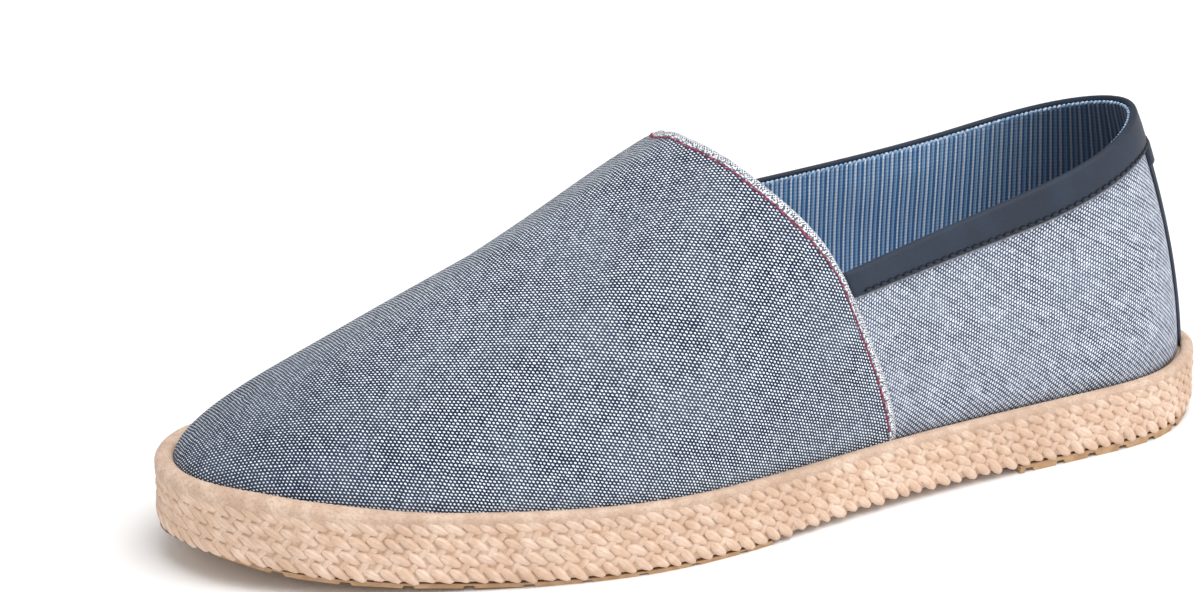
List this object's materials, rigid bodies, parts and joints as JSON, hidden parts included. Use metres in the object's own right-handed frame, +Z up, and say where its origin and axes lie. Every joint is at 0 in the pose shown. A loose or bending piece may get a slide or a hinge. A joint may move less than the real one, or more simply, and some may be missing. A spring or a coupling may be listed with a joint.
{
  "type": "espadrille",
  "caption": "Slip-on canvas espadrille, left shoe: hollow upper open at collar and throat, leather-bound topline, braided jute sole with a thin rubber tread.",
  "frame": {"origin": "on the floor, under the middle of the shoe's box", "axes": "+Z up, toe towards -Y, outer side of the foot +X"},
  "size_m": [0.1069, 0.292, 0.0967],
  "materials": {
    "rubber": "matt tan rubber",
    "jute": "plaited natural jute",
    "footbed_cloth": "blue woven cloth",
    "canvas": "blue-grey plain-weave canvas",
    "binding_leather": "smooth dark navy leather",
    "strip_leather": "smooth dark navy leather"
  },
  "bodies": {
    "root": {"outsole": "rubber", "midsole": "jute", "insole": "footbed_cloth", "upper": "canvas", "collar_binding": "binding_leather", "back_strip": "strip_leather"}
  },
  "joints": []
}
